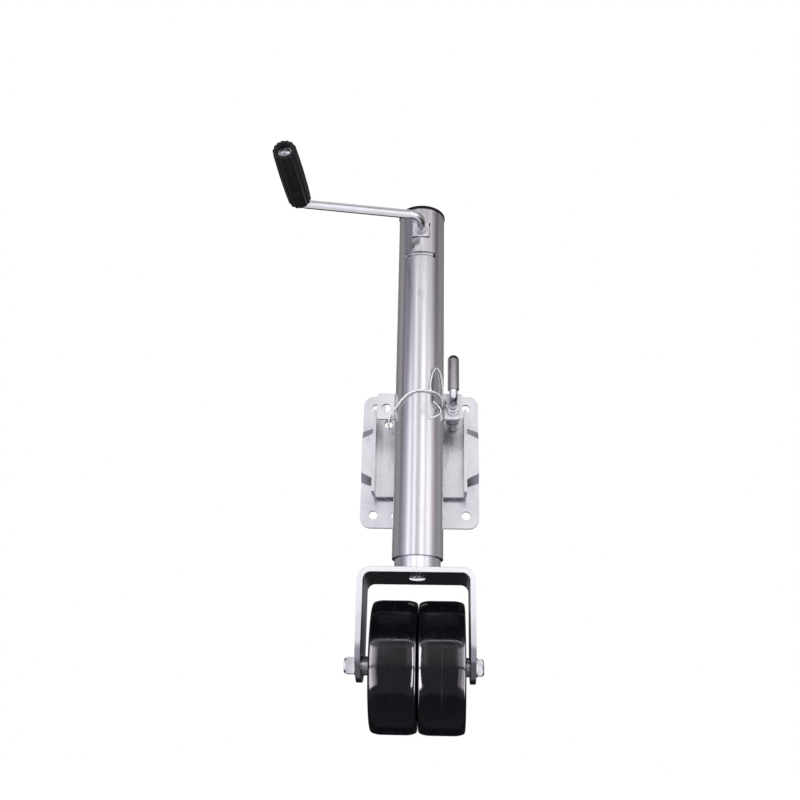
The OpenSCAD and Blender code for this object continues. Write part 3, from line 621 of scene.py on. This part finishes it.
# (distance along the axis, radius, flute depth): the recessed end, then the far end and bore
GRIP_RECESSED_END = [
    (-48.2, 9.3, 0), (-48.7, 9.5, 0), (-52.5, 9.55, 0), (-56.4, 9.65, 0), (-57.1, 10.2, 0),
    (-57.4, 11.0, 0.10), (-57.45, 12.3, 0.45), (-57.25, 13.4, 0.8), (-56.8, 14.2, 1.0),
    (-56.0, 14.8, FLUTE_DEPTH), (GRIP_START, GRIP_RADIUS, FLUTE_DEPTH)]
GRIP_FAR_END = [
    (GRIP_END, GRIP_RADIUS + GRIP_TAPER, FLUTE_DEPTH), (49.2, 15.2, 1.0), (50.1, 14.4, 0.9),
    (50.55, 13.2, 0.6), (50.6, 11.4, 0.2), (50.6, 8.6, 0), (50.45, 7.4, 0), (49.9, 6.6, 0),
    (48.6, 6.3, 0), (20.0, 6.3, 0), (-20.0, 6.3, 0), (-48.0, 6.3, 0)]


def make_grip():
    """Moulded hand grip with full-length flutes and a recess at one end."""
    body = []
    for i in range(1, 24):
        t = i / 24
        radius = GRIP_RADIUS + GRIP_SWELL * sin(pi * t) ** 0.8 + GRIP_TAPER * t
        body.append((GRIP_START + t * (GRIP_END - GRIP_START), radius, FLUTE_DEPTH))
    part = lathe(GRIP_RECESSED_END + body + GRIP_FAR_END, joint_mm("grip_spin"),
                 JOINT["grip_spin"]["axis"], n=14 * FLUTES,
                 cut=lambda angle: (0.5 - 0.5 * np.cos(FLUTES * angle)) ** 0.85)
    grip = skin("hand_grip", [part], GRIP, "grip", sharp=50)
    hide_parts("crank_grip")
    grip.visible_glossy = False


# (height above the tube's top, radius)
CAP_PROFILE = [
    (4.4, 0.4), (4.35, 10), (4.2, 20), (3.95, 27), (3.6, 30.2), (3.0, 31.8), (2.2, 32.5),
    (1.2, 32.7), (-0.9, 32.65), (-1.35, 32.4), (-1.4, 31.85), (0.02, 31.85), (0.02, 28.9),
    (-0.6, 28.6), (-8.4, 28.5), (-9.0, 28.1), (-9.0, 26.2), (-0.6, 26.0), (-0.4, 12.0),
    (-0.4, 0.4)]


def make_cap():
    """Slightly crowned end cap with a lip over the tube."""
    top = box_mm("outer_tube")[1][2]
    part = lathe(CAP_PROFILE, (0, TUBE_Y, top), (0, 0, 1), n=128)
    cap = skin("tube_cap", [part], CAP, "jack_body", sharp=40)
    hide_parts("top_cap")


SPRING_START, SPRING_END = TUBE_Y + 4.95, TUBE_Y + 42.05
SPRING_RADIUS, SPRING_WIRE_RADIUS, SPRING_TURNS = 7.75, 0.86, 7.5
END_SHARE = 0.13                       # share of the turns in each close-wound end
END_SLOPE, END_GAIN = 0.34, 0.9        # rise of an end: steady, and growing
END_RISE = (END_SLOPE + END_GAIN) * END_SHARE


def spring_rise(t):
    """Share of the spring's length reached at a share t of its turns."""
    if t > 0.5:
        return 1 - spring_rise(1 - t)
    if t < END_SHARE:
        return END_SLOPE * t + END_GAIN * t * t / END_SHARE
    return END_RISE + (t - END_SHARE) * (1 - 2 * END_RISE) / (1 - 2 * END_SHARE)


def make_spring():
    """Lock pin spring, stretched between the body and the pin."""
    path = []
    for i in range(271):
        t = i / 270
        angle = 2 * pi * SPRING_TURNS * t
        path.append((PIN_X + SPRING_RADIUS * cos(angle),
                     SPRING_START + (SPRING_END - SPRING_START) * spring_rise(t),
                     PIN_Z + SPRING_RADIUS * sin(angle)))
    spring = skin("lock_spring", [sweep(path, SPRING_WIRE_RADIUS)], SPRING,
                  sharp=60)
    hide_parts("pin_spring")
    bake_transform(spring)


# (x, y, z) stations of the cord, from the pin to the plate, and of its two free loops
CORD_MAIN = [
    (36.6, -86.6, 51.4), (34, -88.6, 53.6), (30.2, -95, 56.6), (25.5, -101, 59), (19, -107, 60),
    (11, -110.6, 60.4), (-3, -112.4, 60.2), (-14.5, -109, 56), (-22, -104.5, 50.6),
    (-27.7, -98.6, 45), (-36.2, -86, 39.5), (-39.6, -79, 32), (-41, -62, 28), (-36.4, -46, 25),
    (-31.4, -39, 22.6), (-29.3, -36, 22)]
CORD_TALL_LOOP = [
    (33.4, -88.4, 54.6), (31.6, -91.6, 60), (30.4, -93, 74), (28.4, -96, 87), (26, -99, 93),
    (22.6, -102.5, 95.2), (19, -105.6, 91), (16.4, -107.6, 82), (14.6, -109.0, 73),
    (14.2, -109.6, 66), (15.4, -109.3, 61.5)]
CORD_SMALL_LOOP = [
    (18.6, -106.4, 47), (20.6, -104.8, 45.4), (23.0, -102.9, 44.2), (25.4, -100.6, 42.4),
    (27.9, -97.6, 39.2), (27.6, -97.6, 34.4), (24.4, -100.9, 30.4), (19.6, -105.2, 26.2),
    (16.0, -107.6, 24.2)]
CORD_RING_RADIUS, CORD_RING_Y = 7.7, -87.0
# (distance along the axis, radius)
CORD_FERRULE = [
    (-3.4, 1.2), (-3.4, 1.85), (-3.0, 2.05), (-1.4, 2.05), (-1.0, 1.8), (-0.3, 1.8), (0.0, 2.08),
    (0.3, 1.8), (1.0, 1.8), (1.4, 2.05), (3.0, 2.05), (3.4, 1.85), (3.4, 1.2)]
PLATE_FERRULE = [(-1.9, 0.4), (-1.9, 2.2), (-1.5, 2.6), (0.4, 2.6), (0.8, 2.2), (0.8, 0.4)]


def make_cord():
    """Cord from a ring round the pin to the saddle plate, with a metal ferrule at each end."""
    main = curve(CORD_MAIN, per=10)
    angles = np.arange(72) * 2 * pi / 72
    ring = np.stack([PIN_X + CORD_RING_RADIUS * np.cos(angles), np.full(72, CORD_RING_Y),
                     PIN_Z + CORD_RING_RADIUS * np.sin(angles)], 1)
    parts = [sweep(main, 1.3), sweep(curve(CORD_TALL_LOOP, per=8), 1.05),
             sweep(curve(CORD_SMALL_LOOP, per=8), 1.0), sweep(ring, 1.1, loop=True)]
    cord = skin("pin_cord", parts, CORD, "jack_body", sharp=60)
    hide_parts("lanyard")
    ferrules = [lathe(CORD_FERRULE, main[9], main[12] - main[6], n=32),
                lathe(PLATE_FERRULE, (-28.6, -36, 22), (1, 0, 0), n=40)]
    skin("cord_ferrules", ferrules, BRIGHT, "jack_body")


def upright_weld(x, y, bottom, top, radius, seed):
    heights = bottom + (top - bottom) * np.linspace(0, 1, 60)
    line = np.stack([np.full(60, x), np.full(60, y), heights], 1)
    return sweep(*bead(line, radius, seed))


def make_welds():
    """Beads beside the lock ears and the cradle, and round the leg on top of the fork."""
    lo, hi = box_mm("lock_ears")
    parts = []
    for i, side in enumerate((-1, 1)):
        for k, (y, radius) in enumerate(((TUBE_Y - 0.35, 1.15), (TUBE_Y + 4.4, 1.9))):
            parts.append(upright_weld(side * 32.0, y, lo[2] + 1.6, hi[2] - 1.6, radius,
                                      seed=7 * i + k))
    skin("ear_welds", parts, WELD, "jack_body")

    lo, hi = box_mm("tube_cradle")
    bottom, top = lo[2] + 2, hi[2] - 2
    parts = []
    for i, side in enumerate((-1, 1)):
        parts.append(upright_weld(side * 28.9, TUBE_Y + 16.2, bottom, top, 2.1, seed=20 + i))
        for k, (start, end) in enumerate(((bottom, -37.0), (47.5, top))):
            parts.append(upright_weld(side * 28.8, hi[1] - 0.8, start, end, 1.9,
                                      seed=30 + 2 * i + k))
    skin("cradle_welds", parts, WELD, "jack_body")

    radius = 29.4
    angles = np.arange(361) * pi / 180
    circle = np.stack([radius * np.cos(angles), TUBE_Y + radius * np.sin(angles),
                       np.full(361, box_mm("fork")[1][2] + 0.5)], 1)
    path, radii = bead(circle, 1.8, seed=50, pitch=2.0)
    # the last station falls on the first, so the loop leaves it out
    skin("leg_weld", [sweep(path[:-1], radii[:-1], loop=True)], WELD, "leg")


# (depth below the plug's seat, radius)
PLUG_PROFILE = [
    (2.0, 0.3), (1.93, 2.5), (1.72, 5.0), (1.35, 7.2), (0.95, 8.7), (0.75, 9.2), (0.6, 9.6),
    (0.3, 9.85), (0.02, 9.9), (0.02, 8.85), (-4.8, 8.8), (-5.2, 8.4), (-5.2, 7.6), (-0.6, 7.3),
    (0.2, 5.0), (0.7, 2.5), (0.9, 0.3)]


def make_plug():
    """Domed plug in the hole of the fork's bar."""
    seat = box_mm("fork")[1][2] - 6.5
    part = lathe(PLUG_PROFILE, (0, TUBE_Y, seat), (0, 0, -1), n=72)
    skin("fork_plug", [part], PLUG, "leg", sharp=40)


# (distance along the axle, height above the tread)
TREAD_LINE_PROFILE = [
    (-0.45, -0.4), (-0.34, 0.02), (-0.15, 0.16), (0.15, 0.16), (0.34, 0.02), (0.45, -0.4)]
# (distance along the axle from the nut's -x face, radius)
INSERT_PROFILE = [
    (0.6, 6.2), (-0.15, 6.2), (-0.45, 6.5), (-0.5, 7.0), (-0.35, 7.6), (0.1, 7.9), (0.6, 7.9)]


def make_wheel_details():
    """Mould parting lines round the treads, and the insert of the axle nut."""
    for side in ("left", "right"):
        lo, hi = box_mm("wheel_" + side)
        radius = (hi[2] - lo[2]) / 2
        profile = [(along, radius + height) for along, height in TREAD_LINE_PROFILE]
        part = lathe(profile, joint_mm(side + "_wheel_spin"), (1, 0, 0), n=180)
        skin("tread_line_" + side, [part], TREAD_LINE, side + "_wheel", sharp=60)
    lo, hi = box_mm("axle_nut")
    part = lathe(INSERT_PROFILE, (lo[0], TUBE_Y, (lo[2] + hi[2]) / 2), (1, 0, 0), n=64)
    skin("nut_insert", [part], NYLON, "leg", sharp=60)


# ------------------------------------------------------------------ camera, world, floor
def make_camera():
    pitch, yaw, roll = rad(21.881), rad(-2.822), rad(1.272)
    place = Vector((28.127, -1175.392, -380.891)) * MM
    forward = Vector((sin(yaw) * cos(pitch), cos(yaw) * cos(pitch), sin(pitch)))
    level = Vector((cos(yaw), -sin(yaw), 0))
    upright = level.cross(forward)
    right = cos(roll) * level + sin(roll) * upright
    up = -sin(roll) * level + cos(roll) * upright
    data = bpy.data.cameras.new("camera")
    data.sensor_width = 36.0
    data.sensor_fit = "HORIZONTAL"
    data.lens = 40.2471
    data.clip_start, data.clip_end = 0.01, 50
    camera = bpy.data.objects.new("camera", data)
    bpy.context.scene.collection.objects.link(camera)
    rows = [(right[i], up[i], -forward[i], place[i]) for i in range(3)]
    camera.matrix_world = Matrix((*rows, (0, 0, 0, 1)))
    bpy.context.scene.camera = camera


# Reflected surroundings. Bearings run 0 .. 1: 0 is +y, 0.25 is -x, 0.5 the viewer's side (-y),
# 0.75 is +x. Heights run from 0, straight down, over 0.5, level, to 1, straight up.
# (bearing, colour) of the soft boxes and dark cards round the object
SURROUND = [
    (0.000, (0.085, 0.08, 0.095)), (0.032, (0.10, 0.095, 0.11)), (0.052, (0.26, 0.27, 0.27)),
    (0.110, (0.21, 0.22, 0.22)), (0.145, (0.30, 0.29, 0.29)), (0.215, (0.36, 0.35, 0.36)),
    (0.250, (0.20, 0.185, 0.20)), (0.285, (0.31, 0.295, 0.345)), (0.325, (0.475, 0.455, 0.54)),
    (0.352, (0.69, 0.67, 0.76)), (0.372, (1.36, 1.35, 1.43)), (0.392, (1.08, 1.07, 1.15)),
    (0.412, (0.68, 0.67, 0.73)), (0.430, (0.71, 0.70, 0.76)), (0.446, (1.38, 1.38, 1.42)),
    (0.462, (1.22, 1.22, 1.25)), (0.482, (0.55, 0.55, 0.58)), (0.512, (0.645, 0.635, 0.65)),
    (0.530, (1.28, 1.28, 1.29)), (0.568, (1.27, 1.26, 1.28)), (0.588, (0.60, 0.585, 0.62)),
    (0.612, (1.16, 1.14, 1.17)), (0.645, (1.18, 1.15, 1.20)), (0.672, (0.84, 0.78, 0.81)),
    (0.715, (0.46, 0.42, 0.44)), (0.742, (0.27, 0.265, 0.28)), (0.800, (0.38, 0.385, 0.39)),
    (0.880, (0.24, 0.25, 0.255)), (0.945, (0.24, 0.255, 0.255)), (0.968, (0.10, 0.095, 0.11)),
    (1.000, (0.085, 0.08, 0.095))]
# (heights over which it sets in, (bearing, factor) stops) of each change higher up
UPPER_CHANGES = (
    # the side boxes end lower than the front ones
    ((0.610, 0.655), [(0.295, 1.0), (0.315, 0.5), (0.34, 0.28), (0.395, 0.32), (0.415, 1.0),
                      (0.595, 1.0), (0.612, 0.50), (0.73, 0.48), (0.78, 0.78), (0.85, 1.0)]),
    # the front dims near the top of the boxes
    ((0.6755, 0.6815), [(0.40, (1.0, 0.98, 1.0)), (0.43, (0.52, 0.49, 0.51)),
                        (0.56, (0.46, 0.43, 0.44)), (0.59, (0.55, 0.52, 0.53)),
                        (0.615, (1.15, 1.1, 1.12)), (0.70, (1.0, 0.98, 1.0))]),
    # the bright strips sit a little further left
    ((0.637, 0.652), [(0.462, (1, 1, 1)), (0.486, (1.42, 1.40, 1.40)),
                      (0.510, (1.42, 1.40, 1.42)), (0.528, (0.95, 0.95, 0.95)),
                      (0.545, (0.80, 0.79, 0.80)), (0.575, (0.84, 0.82, 0.83)),
                      (0.60, (1, 1, 1))]))
# (height, brightness) behind the object and on the viewer's side
REAR_HEIGHTS = [
    (0.0, 0.04), (0.40, 0.12), (0.485, 0.18), (0.52, 0.75), (0.56, 1.0), (0.685, 1.0),
    (0.715, 0.10), (0.86, 0.08), (0.92, 0.25), (1.0, 0.30)]
FRONT_HEIGHTS = [
    (0.0, 0.02), (0.20, 0.02), (0.24, 0.50), (0.50, 0.80), (0.55, 1.0), (0.710, 1.0),
    (0.722, 0.05), (0.86, 0.05), (0.92, 0.22), (1.0, 0.28)]


def make_world():
    """White to the camera, a soft gradient to diffuse rays, a studio to glossy rays."""
    world = bpy.data.worlds.new("studio")
    bpy.context.scene.world = world
    sky = Nodes(world, "OutputWorld")
    x, y, z = sky.node("SeparateXYZ", sky.texcoord.outputs["Generated"]).outputs
    angle = sky.math("ARCTAN2", x, sky.math("MULTIPLY", y, -1.0))
    bearing = sky.math("ADD", sky.math("DIVIDE", angle, 2 * pi), 0.5)
    height = sky.math("ADD", sky.math("DIVIDE", sky.math("ARCSINE", z), pi), 0.5)
    boxes = sky.ramp(bearing, SURROUND)
    for between, stops in UPPER_CHANGES:
        change = sky.mix(sky.mask(height, between), (1, 1, 1), sky.ramp(bearing, stops))
        boxes = sky.multiply(boxes, change)
    # 1 on the viewer's side, 0 behind the object
    front = sky.mask(sky.math("ADD", sky.math("MULTIPLY", y, -0.5), 0.5), between=(0.46, 0.62))
    fade = sky.mix(front, sky.ramp(height, REAR_HEIGHTS), sky.ramp(height, FRONT_HEIGHTS))
    glossy = sky.multiply(boxes, fade)
    # a pale sweep in front of and below the object, and dark straight below
    band = sky.ramp(height, [(0.20, 0.0), (0.24, 1.0), (0.47, 1.0), (0.495, 0.0)])
    glossy = sky.mix(sky.math("MULTIPLY", front, band), glossy, (0.315, 0.30, 0.36))
    below = sky.ramp(height, [(0.0, 1.0), (0.17, 1.0), (0.23, 0.0)])
    glossy = sky.mix(below, glossy, (0.10, 0.10, 0.11))
    rays = sky.node("LightPath").outputs
    diffuse = sky.ramp(sky.math("ADD", sky.math("MULTIPLY", z, 0.5), 0.5),
                       [(0.0, 0.35), (0.5, 0.6), (1.0, 0.85)])
    colour = sky.mix(rays["Is Glossy Ray"], diffuse, glossy)
    colour = sky.mix(rays["Is Camera Ray"], colour, (1.0, 1.0, 1.0))
    background = sky.node("Background", Color=colour, Strength=1.0)
    sky.link(background.outputs[0], sky.out.inputs[0])


def make_floor():
    bm = bmesh.new()
    bmesh.ops.create_grid(bm, x_segments=2, y_segments=2, size=30)
    mesh = bpy.data.meshes.new("floor")
    bm.to_mesh(mesh)
    bm.free()
    floor = bpy.data.objects.new("floor", mesh)
    bpy.context.scene.collection.objects.link(floor)
    floor.location = (0, 0, MOUNT_HEIGHT * -MM - 0.30)
    mat = Mat("studio_floor", Roughness=0.85)
    cloud = mat.noise(scale=3.0, detail=3.0)
    mat.relief((mat.noise(scale=60.0), 0.02, 0.001))
    # the floor brightens away from the object until it meets the white backdrop
    away = mat.node("VectorMath", mat.coords, props={"operation": "LENGTH"}).outputs["Value"]
    glow = mat.ramp(mat.math("DIVIDE", away, 6.0), [(0.03, 0.30), (0.22, 0.62), (0.8, 1.0)])
    mat.surface(Base_Color=mat.ramp(cloud, [(0.3, 0.90), (0.7, 0.93)]),
                Emission_Color=(1.0, 1.0, 1.0), Emission_Strength=glow)
    mesh.materials.append(mat.material)
    floor.visible_glossy = False


# ------------------------------------------------------------------ lights
AIM = (0, -0.08, 0)
TUBE_CENTRE = (0, TUBE_Y * MM, 0)
ROD_CENTRE = (-0.06, -0.12, 0.27)
PLUG_CENTRE = (0, TUBE_Y * MM, -0.177)
WHEEL_CENTRE = (0.0013, TUBE_Y * MM, (AXLE_HEIGHT - MOUNT_HEIGHT) * MM)
COOL = (0.98, 0.97, 1.0)
COOLER = (0.97, 0.96, 1.0)
FAINT_BLUE = (0.98, 0.98, 1.0)
VIOLET = (0.95, 0.88, 1.0)


def area(name, place, aim, size, power, colour=(1, 1, 1), targets=None):
    """Area light; with targets it lights only those and shows in reflections."""
    data = bpy.data.lights.new(name, "AREA")
    data.shape = "RECTANGLE"
    data.size, data.size_y = size
    data.energy = power
    data.color = colour
    lamp = bpy.data.objects.new(name, data)
    bpy.context.scene.collection.objects.link(lamp)
    lamp.location = place
    lamp.rotation_mode = "QUATERNION"
    lamp.rotation_quaternion = (Vector(aim) - Vector(place)).to_track_quat("-Z", "Y")
    lamp.visible_glossy = targets is not None
    lamp.visible_camera = False
    if targets:
        receivers = bpy.data.collections.new(name + "_on")
        for target in targets:
            receivers.objects.link(target)
        lamp.light_linking.receiver_collection = receivers


def card(name, place, aim, size, radiance, colour, targets):
    """Area light whose power follows from its radiance."""
    area(name, place, aim, size, radiance * pi * size[0] * size[1], colour, targets)


def box_light(name, bearings, heights, radiance, targets, colour, distance=2.5,
              centre=TUBE_CENTRE):
    """A soft box that fills a range of bearings and height angles in degrees round a centre.

    Bearing 0 is the viewer's side and + is to the right.
    """
    bearing, height = rad(sum(bearings) / 2), rad(sum(heights) / 2)
    place = (centre[0] + distance * sin(bearing) * cos(height),
             centre[1] - distance * cos(bearing) * cos(height),
             centre[2] + distance * sin(height))
    half_width, half_height = (rad(abs(b - a) / 2) for a, b in (bearings, heights))
    size = (2 * distance * math.tan(half_width) * cos(height),
            2 * distance * math.tan(half_height))
    card(name, place, centre, size, radiance, colour, targets)


def pick(names):
    """Objects by name; a name with no object is passed over."""
    return [bpy.data.objects[name] for name in names.split() if name in bpy.data.objects]


def make_metal_lights():
    plates = pick("mount_plate saddle_channel lock_ears tube_cradle pin_sleeve")
    bright = pick("fork fork_plug shaft_bush_front axle_bolt axle_nut axle_washers inner_tube "
                  "pull_pin")
    rod = pick("crank_rod")
    small = pick("axle_bolt axle_nut axle_washers pull_pin pin_washer nut_insert")
    rear = pick("mount_plate pivot_hub saddle_channel tube_cradle lock_ears ear_welds "
                "cradle_welds")
    metals = rear + pick("outer_tube inner_tube fork leg_weld tube_cap")
    box_light("sheet_box", bearings=(-32, 32), heights=(2, 36), radiance=0.18, targets=plates,
              colour=COOL)
    box_light("bright_box", bearings=(-32, 32), heights=(2, 36), radiance=0.42, targets=bright,
              colour=COOL)
    # the crank rod is lit from the front, and less from above and below
    box_light("rod_box", bearings=(-60, 60), heights=(-46, 10), radiance=0.66, targets=rod,
              colour=(1.0, 0.99, 0.99), centre=ROD_CENTRE)
    card("rod_under", (-0.06, -0.12, -2.2), ROD_CENTRE, size=(4.2, 4.6), radiance=0.64,
         colour=COOLER, targets=rod)
    card("rod_over", (-0.06, -0.2, 2.8), ROD_CENTRE, size=(4.2, 4.4), radiance=0.46,
         colour=FAINT_BLUE, targets=rod)
    box_light("small_box", bearings=(-70, 70), heights=(-78, 0), radiance=0.80, targets=small,
              colour=COOLER)
    box_light("bush_box", bearings=(-60, 60), heights=(-60, 0), radiance=0.30,
              targets=pick("shaft_bush_front"), colour=(1.0, 0.98, 0.98))
    box_light("small_top_box", bearings=(-70, 70), heights=(38, 84), radiance=0.85,
              targets=small, colour=COOL)
    box_light("slope_box", bearings=(-50, 50), heights=(44, 84), radiance=0.10, targets=plates,
              colour=COOLER)
    box_light("plug_box", bearings=(140, 220), heights=(-55, -1.5), radiance=1.1,
              targets=pick("fork_plug"), colour=(1.0, 0.99, 1.0), centre=PLUG_CENTRE)
    # soft light from behind and above, for views from those sides
    box_light("rear_box", bearings=(140, 220), heights=(-14, 46), radiance=0.36, targets=rear,
              colour=FAINT_BLUE)
    card("top_card", (0, -0.2, 2.8), AIM, size=(4.4, 4.4), radiance=0.24, colour=FAINT_BLUE,
         targets=metals)


def make_wheel_lights():
    """What the black wheels reflect: a thin high line in front, and tall boxes to the sides."""
    wheels = [piece for piece in bpy.data.objects
              if piece.name.startswith("wheel") and "divider" not in piece.name]
    left, right = pick("wheel_left"), pick("wheel_right")
    box_light("wheel_line", bearings=(-58, 58), heights=(39.0, 39.9), radiance=14.0,
              targets=wheels, colour=(0.95, 0.90, 1.0), distance=2.6, centre=WHEEL_CENTRE)
    # name, bearings, radiance, targets
    boxes = (
        ("l", (-15, -56), 3.2, left), ("lb", (-24, -56), 4.0, left),
        ("lc", (-36, -56), 7.0, left), ("lr", (31, 37), 26.0, left),
        ("l2", (-72, -112), 10.0, right), ("rl", (-38, -62), 30.0, right),
        ("r", (54, 80), 15.0, wheels), ("r2", (18, 50), 2.6, right),
        ("r3", (34, 60), 5.0, right))
    for name, bearings, radiance, targets in boxes:
        for level, heights in (("hi_", (-3.4, 26)), ("lo_", (-36, -7.0))):
            box_light("wheel_" + level + name, bearings, heights, radiance, targets, VIOLET,
                      distance=2.2, centre=WHEEL_CENTRE)
    for lamp in bpy.data.objects:
        if lamp.type == "LIGHT" and lamp.name.startswith("wheel_"):
            lamp.visible_diffuse = False


# ------------------------------------------------------------------ build
dress_cad_pieces()
make_grip()
make_cap()
make_spring()
make_cord()
make_welds()
make_plug()
make_wheel_details()
make_camera()
make_world()
make_floor()
area("key", (-1.6, -2.2, 1.6), AIM, size=(1.2, 1.2), power=38)
area("fill", (1.9, -1.6, 0.9), AIM, size=(0.9, 1.6), power=18)
area("back", (0.4, 2.2, 1.4), AIM, size=(1.6, 1.6), power=22)
make_metal_lights()
make_wheel_lights()

view = bpy.context.scene.view_settings
view.view_transform = "Standard"
view.look = "None"
view.exposure = 0.0
